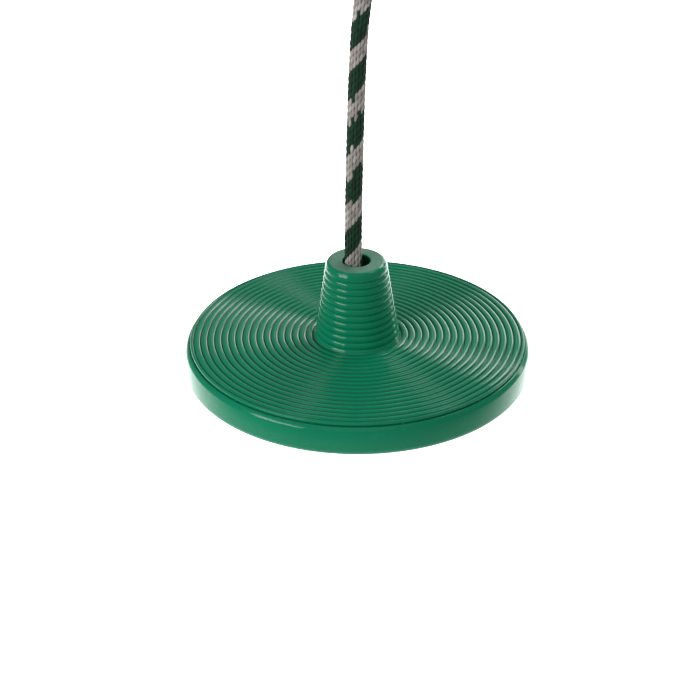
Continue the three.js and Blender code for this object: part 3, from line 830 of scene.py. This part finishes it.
def add_swivel_eye():
    centre = EYE_RING_TOP - EYE_RING_RADIUS
    ring = np.array([(0, y, z) for y, z in circle(EYE_RING_RADIUS, 96, (0, centre))])
    made = closed_bar("swivel_eye_forging", ring, EYE_BAR_RADIUS)
    top = BOSS_LOW - GAP
    low = top - COLLAR_HEIGHT
    collar = [*near((COLLAR_RADIUS, top), (-0.5, 0), (0, -0.5)), (COLLAR_RADIUS, low + 0.6 * MM)]
    collar += arc((COLLAR_RADIUS + 0.6 * MM, low - 2 * MM), 2.6 * MM, 100, 170, 6)
    collar += [(SHANK_RADIUS + 0.4 * MM, EYE_RING_TOP - 2 * MM)]
    combine(made, [threaded_shank(), spindle("collar", collar)], "UNION")
    declare(made, "zinc_steel", "swivel", "swivel_eye", sharp=35)


def closed_bar(name, line, radius):
    """A forged round bar along a closed line in the YZ plane."""
    ahead, behind = np.roll(line, -1, axis=0), np.roll(line, 1, axis=0)
    tangents = ahead - behind
    tangents /= np.linalg.norm(tangents, axis=1)[:, None]
    normals = np.tile((1.0, 0, 0), (len(line), 1))
    made = carried(name, line, forged_section(radius), normals, np.cross(tangents, normals), True)
    face_out(made)
    return made


def add_swivel_washer():
    low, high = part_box("swivel_washer")
    hole = SHANK_RADIUS + GAP
    edge = high.x
    rounding = 0.5 * MM
    outline = near((hole, high.z), (0, -0.2), (0.2, 0))
    outline += arc((edge - rounding, high.z - rounding), rounding, 90, 0, 4)
    outline += [*near((edge, low.z), (0, 0.15), (-0.15, 0)), (hole, low.z)]
    made = turned("swivel_washer_ring", outline, 64)
    declare(made, "zinc_steel", "swivel", "swivel_washer", sharp=50)


def add_swivel_nut():
    """A hexagon nut, chamfered on both faces, with a countersunk bore."""
    low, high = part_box("swivel_nut")
    corner = high.x
    made = spindle("swivel_nut_hex", [(corner, high.z), (corner, low.z)], 6)
    cone = near((corner, high.z), (-0.9, 0), (0.1, -0.6)) + near((corner, low.z), (0.1, 0.6), (-0.9, 0))
    combine(made, [spindle("chamfers", cone, 96)], "INTERSECT")
    hole = SHANK_RADIUS + GAP
    bore = near((hole, high.z), (1.6, 1), (0, -0.6)) + near((hole, low.z), (0, 0.6), (1.6, -1))
    combine(made, [spindle("bore", bore, 48)], "DIFFERENCE")
    declare(made, "zinc_steel", "swivel", "swivel_nut", sharp=25)


# ---- Snap hook

HOOK_BAR_RADIUS = 5 * MM
BOW_RADIUS = 18 * MM  # of the bar's centre line
HOOK_CORNER_RADIUS = 14 * MM
SPINE_BOTTOM = -50 * MM
NOSE_END = -19 * MM
PIVOT_X = 17.5 * MM
PIVOT_Z = -52 * MM
TONGUE_THICKNESS = 3.8 * MM
TONGUE_RADIUS = 4.4 * MM
SLOT_WIDTH = 4.6 * MM
SLOT_DEPTH = 8 * MM
GATE_RADIUS = 4.6 * MM
GATE_TOP = -19.8 * MM
PIN_RADIUS = 1.5 * MM
PIN_HOLE_RADIUS = 1.7 * MM
LATCH_X = 17.3 * MM
LATCH_Z = -23.2 * MM
LATCH_PIN_RADIUS = 1.2 * MM
LATCH_HOLE_RADIUS = 1.5 * MM
SPRING_BORE_RADIUS = 2.4 * MM
SPRING_BORE_TOP = -30.5 * MM
SPRING_RADIUS = 1.7 * MM
SPRING_WIRE = 0.45 * MM
SPRING_TURNS = 6
SPRING_LENGTH = 8.6 * MM
PLUNGER_RADIUS = 2 * MM
PLUNGER_LENGTH = 7 * MM


def hook_line():
    """From the nose over the bow, down the spine and round the bottom to below the gate's pivot."""
    corner = HOOK_CORNER_RADIUS
    points = [(BOW_RADIUS, NOSE_END)]
    points += arc((0, HOOK_BAR_RADIUS - BOW_RADIUS), BOW_RADIUS, 0, 180, 60)
    points += arc((corner - BOW_RADIUS, SPINE_BOTTOM), corner, 180, 270, 24)
    points += arc((PIVOT_X - corner, SPINE_BOTTOM), corner, 270, 326, 16)
    return even_line(np.array([(x, 0, z) for x, z in points]), 1 * MM)


def lay_across(made, x, z):
    """Turns a piece that stands on Z to lie along Y, and moves it into the hook's plane."""
    made.data.transform(Matrix.Translation((x, 0, z)) @ Matrix.Rotation(math.pi / 2, 4, "X"))
    return made


def across(name, radius, length, x, z):
    """A round tool along Y for cutting a hole."""
    return lay_across(spindle(name, [(radius, length / 2), (radius, -length / 2)], 48), x, z)


def block(name, size, middle):
    x, y, z = (half / 2 for half in size)
    made = plate(name, [(-x, -z), (x, -z), (x, z), (-x, z)], 2 * y)
    return place(made, middle, 0)


def pivot_tongue():
    outline = arc((PIVOT_X, PIVOT_Z), TONGUE_RADIUS, -20, 200, 24)
    outline += [(PIVOT_X - 6.5 * MM, PIVOT_Z - 9 * MM), (PIVOT_X - 2 * MM, PIVOT_Z - 11 * MM)]
    return plate("pivot_tongue", outline, TONGUE_THICKNESS)


def nose_tongue():
    """The flat end of the nose, with the notch that the gate's latch pin slides into."""
    left, right = LATCH_X - 2.1 * MM, LATCH_X + 3.5 * MM
    top, bottom = NOSE_END + 2 * MM, GATE_TOP - SLOT_DEPTH + 0.8 * MM
    notch = LATCH_PIN_RADIUS + 0.6 * MM
    outline = [(left, top), (left, LATCH_Z + notch), *arc((LATCH_X, LATCH_Z), notch, 90, -90, 12)]
    outline += [(left, LATCH_Z - notch), *near((left, bottom), (0, 0.6), (0.6, 0))]
    outline += [*near((right, bottom), (-0.6, 0), (0, 0.6)), (right, top)]
    return plate("nose_tongue", outline, TONGUE_THICKNESS)


def swivel_boss():
    """The round boss that the swivel turns in, with rounded edges and a shallow band round its middle."""
    edge = 1.4 * MM
    outline = arc((BOSS_RADIUS - edge, BOSS_TOP - edge), edge, 90, 0, 6)
    middle = (BOSS_TOP + BOSS_LOW) / 2
    outline += near((BOSS_RADIUS, middle), (0.25, 0.5), (0.25, -0.5))
    outline += arc((BOSS_RADIUS - edge, BOSS_LOW + edge), edge, 0, -90, 6)
    return spindle("boss", outline, 72)


def add_hook():
    made = swept("hook_forging", hook_line(), forged_section(HOOK_BAR_RADIUS))
    combine(made, [swivel_boss()], "UNION")
    combine(made, [across("clearance", GATE_RADIUS + 0.9 * MM, 30 * MM, PIVOT_X, PIVOT_Z)], "DIFFERENCE")
    combine(made, [pivot_tongue(), nose_tongue()], "UNION")
    bore_radius = SHANK_RADIUS + GAP
    bore = spindle("bore", [(bore_radius, -40 * MM), (bore_radius, -90 * MM)], 48)
    combine(made, [bore, across("pin_hole", PIN_HOLE_RADIUS, 30 * MM, PIVOT_X, PIVOT_Z)], "DIFFERENCE")
    declare(made, "zinc_steel", "hook", "hook_body", sharp=35)


def add_gate():
    """The gate's round stem with grip grooves, slotted at both ends for the hook's tongues."""
    edge = 0.9 * MM
    outline = arc((GATE_RADIUS - edge, GATE_TOP - edge), edge, 90, 0, 6)
    for groove in range(5):
        z = GATE_TOP - 13 * MM - groove * 2 * MM
        outline += near((GATE_RADIUS, z), (0, 0.5), (-0.35, 0), (0, -0.5))
    outline += [(GATE_RADIUS, PIVOT_Z - 6 * MM)]
    made = spindle("gate_forging", outline, 64, (PIVOT_X, 0, 0))
    heel = across("heel", GATE_RADIUS, 20 * MM, PIVOT_X, PIVOT_Z)
    upper = block("upper", (20 * MM, 20 * MM, 40 * MM), (PIVOT_X, 0, PIVOT_Z + 20 * MM))
    combine(heel, [upper], "UNION")
    combine(made, [heel], "INTERSECT")
    slot_roof = PIVOT_Z + TONGUE_RADIUS + 1.1 * MM
    slot = (20 * MM, SLOT_WIDTH, 20 * MM)
    bore = [(SPRING_BORE_RADIUS, SPRING_BORE_TOP), (SPRING_BORE_RADIUS, slot_roof - 1 * MM)]
    tools = [
        block("low_slot", slot, (PIVOT_X, 0, slot_roof - 10 * MM)),
        block("top_slot", slot, (PIVOT_X, 0, GATE_TOP - SLOT_DEPTH + 10 * MM)),
        spindle("spring_bore", bore, 32, (PIVOT_X, 0, 0)),
        across("pin_hole", PIN_HOLE_RADIUS, 30 * MM, PIVOT_X, PIVOT_Z),
        across("latch_hole", LATCH_HOLE_RADIUS, 30 * MM, LATCH_X, LATCH_Z),
    ]
    combine(made, tools, "DIFFERENCE")
    declare(made, "zinc_steel", "gate", "hook_gate", sharp=35)


def add_rivet(name, radius, length, x, z, body, node):
    """A pin across the hook with domed ends."""
    dome = 0.55 * radius
    half = length / 2 + 0.3 * MM
    angles = np.linspace(0.3, math.pi / 2, 7)
    outline = [(radius * math.sin(a), half - dome * (1 - math.cos(a))) for a in angles]
    outline += [(r, -y) for r, y in reversed(outline)]
    made = lay_across(spindle(name, outline, 40), x, z)
    declare(made, "zinc_steel", body, node)


def add_spring_and_plunger():
    low = PIVOT_Z + TONGUE_RADIUS + GAP
    tip = arc((0, low + PLUNGER_RADIUS), PLUNGER_RADIUS, 0, -75, 8)
    collar = near((PLUNGER_RADIUS, low + PLUNGER_LENGTH), (-0.3, 0), (0, -0.3))
    plunger = spindle("plunger", [*collar, *tip], 32, (PIVOT_X, 0, 0))
    declare(plunger, "zinc_steel", "gate", "gate_plunger")
    start = low + PLUNGER_LENGTH + GAP + SPRING_WIRE
    share = np.linspace(0, 1, SPRING_TURNS * 32)
    rise = np.interp(share, [0, 1 / SPRING_TURNS, 1 - 1 / SPRING_TURNS, 1], [0, 0.11, 0.89, 1])
    angle = share * SPRING_TURNS * 2 * math.pi
    height = start + rise * (SPRING_LENGTH - 2 * SPRING_WIRE)
    line = np.stack([PIVOT_X + SPRING_RADIUS * np.cos(angle), SPRING_RADIUS * np.sin(angle), height], -1)
    spring = swept("coil_spring", line, circle(SPRING_WIRE, 12), (1, 0, 0))
    declare(spring, "spring_steel", "gate", "gate_spring")


# ---- Materials


class Nodes:
    """A material's nodes, made and linked by short calls."""

    def __init__(self, name):
        self.material = bpy.data.materials.new(name)
        self.material.use_nodes = True
        self.tree = self.material.node_tree
        self.shader = self.tree.nodes["Principled BSDF"]
        self.place = self.tree.nodes.new("ShaderNodeTexCoord").outputs["Object"]

    def link(self, value, socket):
        if isinstance(value, bpy.types.NodeSocket):
            self.tree.links.new(value, socket)
        elif value is not None:
            socket.default_value = value

    def add(self, kind, settings=None, **inputs):
        """A new node, with its settings made and its inputs linked or set."""
        node = self.tree.nodes.new("ShaderNode" + kind)
        for name, value in (settings or {}).items():
            setattr(node, name, value)
        for name, value in inputs.items():
            self.link(value, node.inputs[name.replace("_", " ")])
        return node

    def attribute(self, name, output="Fac"):
        return self.add("Attribute", {"attribute_name": name}).outputs[output]

    def noise(self, scale, detail=4.0, roughness=0.5, vector=None):
        place = self.place if vector is None else vector
        made = self.add("TexNoise", Vector=place, Scale=scale, Detail=detail, Roughness=roughness)
        return made.outputs["Fac"]

    def scaled(self, vector, scale):
        return self.add("Mapping", Vector=vector, Scale=scale).outputs["Vector"]

    def split(self, vector):
        return self.add("SeparateXYZ", Vector=vector).outputs

    def ramp(self, value, low, high, from_value=0.0, to_value=1.0, clamp=True):
        ends = {"From_Min": low, "From_Max": high, "To_Min": from_value, "To_Max": to_value}
        return self.add("MapRange", {"clamp": clamp}, Value=value, **ends).outputs["Result"]

    def mix(self, share, first, second):
        ends = {"A": colour(first), "B": colour(second)}
        return self.add("Mix", {"data_type": "RGBA"}, Factor=share, **ends).outputs["Result"]

    def math(self, operation, first, second=None):
        node = self.add("Math", {"operation": operation})
        self.link(first, node.inputs[0])
        self.link(second, node.inputs[1])
        return node.outputs["Value"]

    def times(self, first, second):
        return self.math("MULTIPLY", first, second)

    def plus(self, first, second):
        return self.math("ADD", first, second)

    def bump(self, height, distance, strength=1.0, normal=None):
        made = self.add("Bump", Height=height, Distance=distance, Strength=strength, Normal=normal)
        return made.outputs["Normal"]

    def finish(self, **sockets):
        for name, value in sockets.items():
            self.link(value, self.shader.inputs[name.replace("_", " ")])
        return self.material


def colour(value):
    """A socket, or an sRGB triple of 0 to 255 as the linear colour that a shader takes."""
    if isinstance(value, bpy.types.NodeSocket):
        return value
    shares = [c / 255 for c in value]
    return (*[c / 12.92 if c <= 0.04045 else ((c + 0.055) / 1.055) ** 2.4 for c in shares], 1.0)


@functools.cache
def seat_plastic():
    """Glossy polyethylene: softly clouded green and scuffed, with painted shade in the grooves and in the
    rope's hole, and a painted lighter sheen on the hub's rougher top.
    """
    n = Nodes("seat_plastic")
    clouds = n.noise(9, 3)
    grain = n.noise(900, 3, 0.6)
    scuffs = n.ramp(n.noise(60, 6, 0.7), 0.56, 0.75)
    base = n.mix(n.ramp(clouds, 0.3, 0.7), (3, 150, 107), (5, 158, 115))
    base = n.mix(n.times(scuffs, 0.10), base, (90, 190, 155))
    # Painted shade: the bottoms of the grooves are darkened to stand in for the shade that falls in them.
    base = n.mix(groove_shade_mask(n), base, (3, 36, 24))
    # Painted shade: the wall of the rope's hole is darkened to stand in for the hole's shade.
    base = n.mix(n.times(bore_shade_mask(n), 0.75), base, (6, 40, 28))
    # Painted sheen: the hub's flat top is made lighter and greyer in patches to stand in for the light it
    # reflects, and is also made rougher.
    top_sheen = n.times(hub_top_mask(n), n.ramp(n.noise(130, 5, 0.7), 0.25, 0.7, 0.45, 0.9))
    base = n.mix(top_sheen, base, (128, 172, 152))
    rough = n.ramp(n.plus(n.times(grain, 0.4), scuffs), 0, 1.4, 0.12, 0.26)
    rough = n.plus(rough, n.times(top_sheen, 0.35))
    normal = n.bump(n.noise(260, 2), 0.00006, 0.5, n.bump(grain, 0.00002, 0.5))
    return n.finish(Base_Color=base, Roughness=rough, Normal=normal, IOR=1.5, Specular_IOR_Level=0.4)


def radius_and_height(n):
    x, y, z = n.split(n.place)
    square = n.plus(n.times(x, x), n.times(y, y))
    return n.math("SQRT", square), z


def groove_shade_mask(n):
    """Painted shade: close to 1 at the bottom of each groove in the disc's top, and less in the groove
    under its lip, where the colour is darkened to stand in for shade.
    """
    radius, z = radius_and_height(n)
    inner = OUTER_VALLEY_RADIUS - RIDGE_COUNT * RIDGE_PITCH
    t = n.math("FRACT", n.ramp(radius, inner, inner + RIDGE_PITCH, 0, 1, clamp=False))
    across = n.math("ABSOLUTE", n.math("SUBTRACT", n.times(t, 2), 1))
    on_top = n.math("GREATER_THAN", z, SEAT_Z - 2 * MM)
    on_disc = n.math("LESS_THAN", radius, OUTER_VALLEY_RADIUS + RIDGE_PITCH / 2)
    on_ridges = n.times(on_disc, on_top)
    clear_of_hub = n.math("LESS_THAN", z, SEAT_Z + DOME_RISE + RIDGE_HEIGHT)
    ridges = n.times(n.math("POWER", across, 6), n.times(on_ridges, clear_of_hub))
    # The groove under the lip gets a weaker share of the painted shade.
    step = n.math("LESS_THAN", radius, SHOULDER_TOP[0])
    step = n.times(step, n.math("GREATER_THAN", radius, LIP_EDGE[0] - 0.8 * MM))
    step = n.times(step, n.math("LESS_THAN", z, SEAT_Z + LIP_EDGE[1] - 1.6 * MM))
    step = n.times(step, n.math("GREATER_THAN", z, SEAT_Z + SHOULDER_TOP[1] - 1 * MM))
    return n.math("MAXIMUM", ridges, n.times(step, 0.35))


def bore_shade_mask(n):
    """1 on the wall of the rope's hole, where the colour is darkened as painted shade of the deep hole."""
    radius, z = radius_and_height(n)
    inside = n.math("LESS_THAN", radius, BORE_TOP_RADIUS + HUB_LEAN + 0.3 * MM)
    return n.times(inside, n.math("LESS_THAN", z, SEAT_HIGH.z - 1.5 * MM))


# Where the painted sheen on the hub's flat top goes.
def hub_top_mask(n):
    z = n.split(n.place)["Z"]
    return n.ramp(z, SEAT_HIGH.z - 0.5 * MM, SEAT_HIGH.z - 0.1 * MM)


@functools.cache
def rope_fibre():
    """Dull braided fibre: near-black green and light grey stitches, each of fine filaments, with painted
    shade between the stitches.
    """
    n = Nodes("rope_fibre")
    light, tint, rise = n.attribute("light"), n.attribute("tint"), n.attribute("rise")
    filaments = n.noise(1.0, 2, 0.6, n.scaled(n.attribute("fibre", "Vector"), (5.0, 0.35, 1.0)))
    green = n.mix(tint, (2, 38, 18), (12, 70, 42))
    grey = n.mix(tint, (164, 152, 146), (226, 220, 214))
    base = n.mix(light, green, grey)
    sheen = n.mix(light, (40, 96, 68), (236, 232, 228))
    base = n.mix(n.times(n.ramp(filaments, 0.35, 0.7), 0.35), base, sheen)
    # Painted shade: the low parts between the stitches are darkened to stand in for the shade in the
    # crevices.
    crevice_shade = n.mix(light, (1, 12, 6), (66, 55, 52))
    base = n.mix(n.ramp(rise, 0.35, 0.85), crevice_shade, base)
    normal = n.bump(filaments, 0.00025, 0.7)
    return n.finish(Base_Color=base, Roughness=n.ramp(filaments, 0.3, 0.7, 0.75, 0.9), Normal=normal)


@functools.cache
def zinc_steel():
    """Bright zinc plate: faint blue and straw clouds, fine scratches and a soft grain."""
    n = Nodes("zinc_steel")
    clouds = n.noise(70, 4)
    scratches = n.ramp(n.noise(1, 5, 0.7, n.scaled(n.place, (300, 300, 2600))), 0.55, 0.7)
    base = n.mix(n.ramp(clouds, 0.35, 0.65), (176, 180, 186), (196, 194, 186))
    base = n.mix(n.times(scratches, 0.3), base, (228, 230, 232))
    rough = n.ramp(n.plus(clouds, n.times(scratches, 0.3)), 0.3, 1.0, 0.24, 0.46)
    normal = n.bump(scratches, 0.00002, 0.4, n.bump(n.noise(1400, 2), 0.00001, 0.4))
    return n.finish(Base_Color=base, Metallic=1.0, Roughness=rough, Normal=normal)


@functools.cache
def ferrule_aluminium():
    """Dull pressed aluminium: a soft grain, die scuffs along it, and darker clouds."""
    n = Nodes("ferrule_aluminium")
    clouds = n.noise(90, 4)
    drag = n.ramp(n.noise(1, 4, 0.7, n.scaled(n.place, (900, 900, 60))), 0.5, 0.7)
    base = n.mix(n.ramp(clouds, 0.35, 0.65), (168, 170, 172), (196, 198, 199))
    base = n.mix(n.times(drag, 0.35), base, (218, 219, 220))
    rough = n.ramp(n.plus(clouds, n.times(drag, 0.3)), 0.3, 1.0, 0.38, 0.56)
    normal = n.bump(drag, 0.00003, 0.5, n.bump(n.noise(1100, 2), 0.000015, 0.5))
    return n.finish(Base_Color=base, Metallic=1.0, Roughness=rough, Normal=normal)


@functools.cache
def spring_steel():
    """Drawn wire: dark bluish grey with fine lengthwise streaks."""
    n = Nodes("spring_steel")
    streaks = n.noise(1, 4, 0.6, n.scaled(n.place, (500, 500, 2400)))
    base = n.mix(n.ramp(streaks, 0.35, 0.65), (128, 132, 138), (168, 171, 175))
    normal = n.bump(streaks, 0.00001, 0.4)
    rough = n.ramp(streaks, 0.3, 0.7, 0.25, 0.4)
    return n.finish(Base_Color=base, Metallic=1.0, Roughness=rough, Normal=normal)


@functools.cache
def sleeve_black():
    """Heat-shrunk plastic: near black, dusty in patches, finely wrinkled."""
    n = Nodes("sleeve_black")
    dust = n.ramp(n.noise(140, 5, 0.65), 0.5, 0.8)
    wrinkles = n.noise(1, 4, 0.6, n.scaled(n.place, (420, 420, 1500)))
    base = n.mix(dust, (24, 25, 27), (58, 58, 57))
    normal = n.bump(wrinkles, 0.00012, 0.6, n.bump(n.noise(1800, 2), 0.00001, 0.5))
    return n.finish(Base_Color=base, Roughness=n.ramp(dust, 0, 1, 0.42, 0.68), Normal=normal)


# Each maker makes its material once, and gives the same one to every piece.
MATERIALS = {
    "seat_plastic": seat_plastic,
    "rope_fibre": rope_fibre,
    "sleeve_black": sleeve_black,
    "zinc_steel": zinc_steel,
    "ferrule_aluminium": ferrule_aluminium,
    "spring_steel": spring_steel,
}


# ---- Room and light

FLOOR_Z = -1.45
FLOOR_HALF_WIDTH = 14
FLOOR_LIGHT_PLACE = (-0.6, 2.7)  # height, and distance behind the swing
FLOOR_LIGHT_SIZE = (7, 4.2)
FLOOR_LIGHT_POWER = 330
SOFTBOX_DISTANCE = 1.9
WORLD_STRENGTH = 0.2

# Name, bearing and elevation in degrees, size in metres and power in watts.
SOFTBOXES = [
    ("back_right", 38, 35, (0.9, 0.5), 8.8),
    ("left_wide", 231, 18, (1.1, 0.55), 12),
    ("left_high", 240, 60, (0.5, 0.5), 1.2),
    ("right_strip", 55, 8, (0.2, 0.8), 1.5),
    ("right_high", 85, 57, (0.5, 0.5), 2.8),
    ("front", 180, 42, (1.4, 1), 1),
    ("back", 0, 35, (0.5, 0.5), 0.64),
    ("back_low", 24, 11, (0.8, 0.7), 5.5),
]


def add_floor():
    half = FLOOR_HALF_WIDTH
    points = [(x, y, FLOOR_Z) for x, y in ((-half, -half), (half, -half), (half, half), (-half, half))]
    floor = mesh_object("floor", points, [(0, 1, 2, 3)])
    n = Nodes("floor")
    paint(floor, n.finish(Base_Color=colour((250, 250, 250)), Roughness=0.9))


def add_light(name, position, target, size, power):
    data = bpy.data.lights.new(name, "AREA")
    data.shape = "RECTANGLE"
    data.size, data.size_y = size
    data.energy = power
    light = add_object(name, data)
    light.location = position
    aim(light, Vector(target) - Vector(position))


def add_softbox(name, bearing, elevation, size, power):
    """A soft light aimed at the disc. Its bearing is in degrees from straight behind, towards the right."""
    middle = Vector((0, 0, SEAT_Z))
    across, up = math.radians(bearing), math.radians(elevation)
    direction = Vector((math.sin(across) * math.cos(up), math.cos(across) * math.cos(up), math.sin(up)))
    add_light(name, middle + SOFTBOX_DISTANCE * direction, middle, size, power)


def light_scene():
    scene = bpy.context.scene
    scene.view_settings.view_transform = "Standard"
    world = bpy.data.worlds.new("studio")
    world.use_nodes = True
    background = world.node_tree.nodes["Background"]
    background.inputs["Color"].default_value = (1, 1, 1, 1)
    background.inputs["Strength"].default_value = WORLD_STRENGTH
    scene.world = world
    for light in SOFTBOXES:
        add_softbox(*light)
    low, far = FLOOR_LIGHT_PLACE
    add_light("floor_light", (0, far, low), (0, far, FLOOR_Z), FLOOR_LIGHT_SIZE, FLOOR_LIGHT_POWER)


# ---- Assembly


def main():
    add_camera()
    add_seat()
    add_load_washer()
    add_knot()
    add_bands()
    add_ferrule()
    add_thimble()
    add_rope()
    add_swivel_eye()
    add_swivel_washer()
    add_swivel_nut()
    add_hook()
    add_gate()
    add_rivet("gate_rivet", PIN_RADIUS, 2 * GATE_RADIUS, PIVOT_X, PIVOT_Z, "hook", "gate_pin")
    latch_length = 2 * GATE_RADIUS - 0.6 * MM
    add_rivet("latch_rivet", LATCH_PIN_RADIUS, latch_length, LATCH_X, LATCH_Z, "gate", "latch_pin")
    add_spring_and_plunger()
    add_floor()
    light_scene()


main()
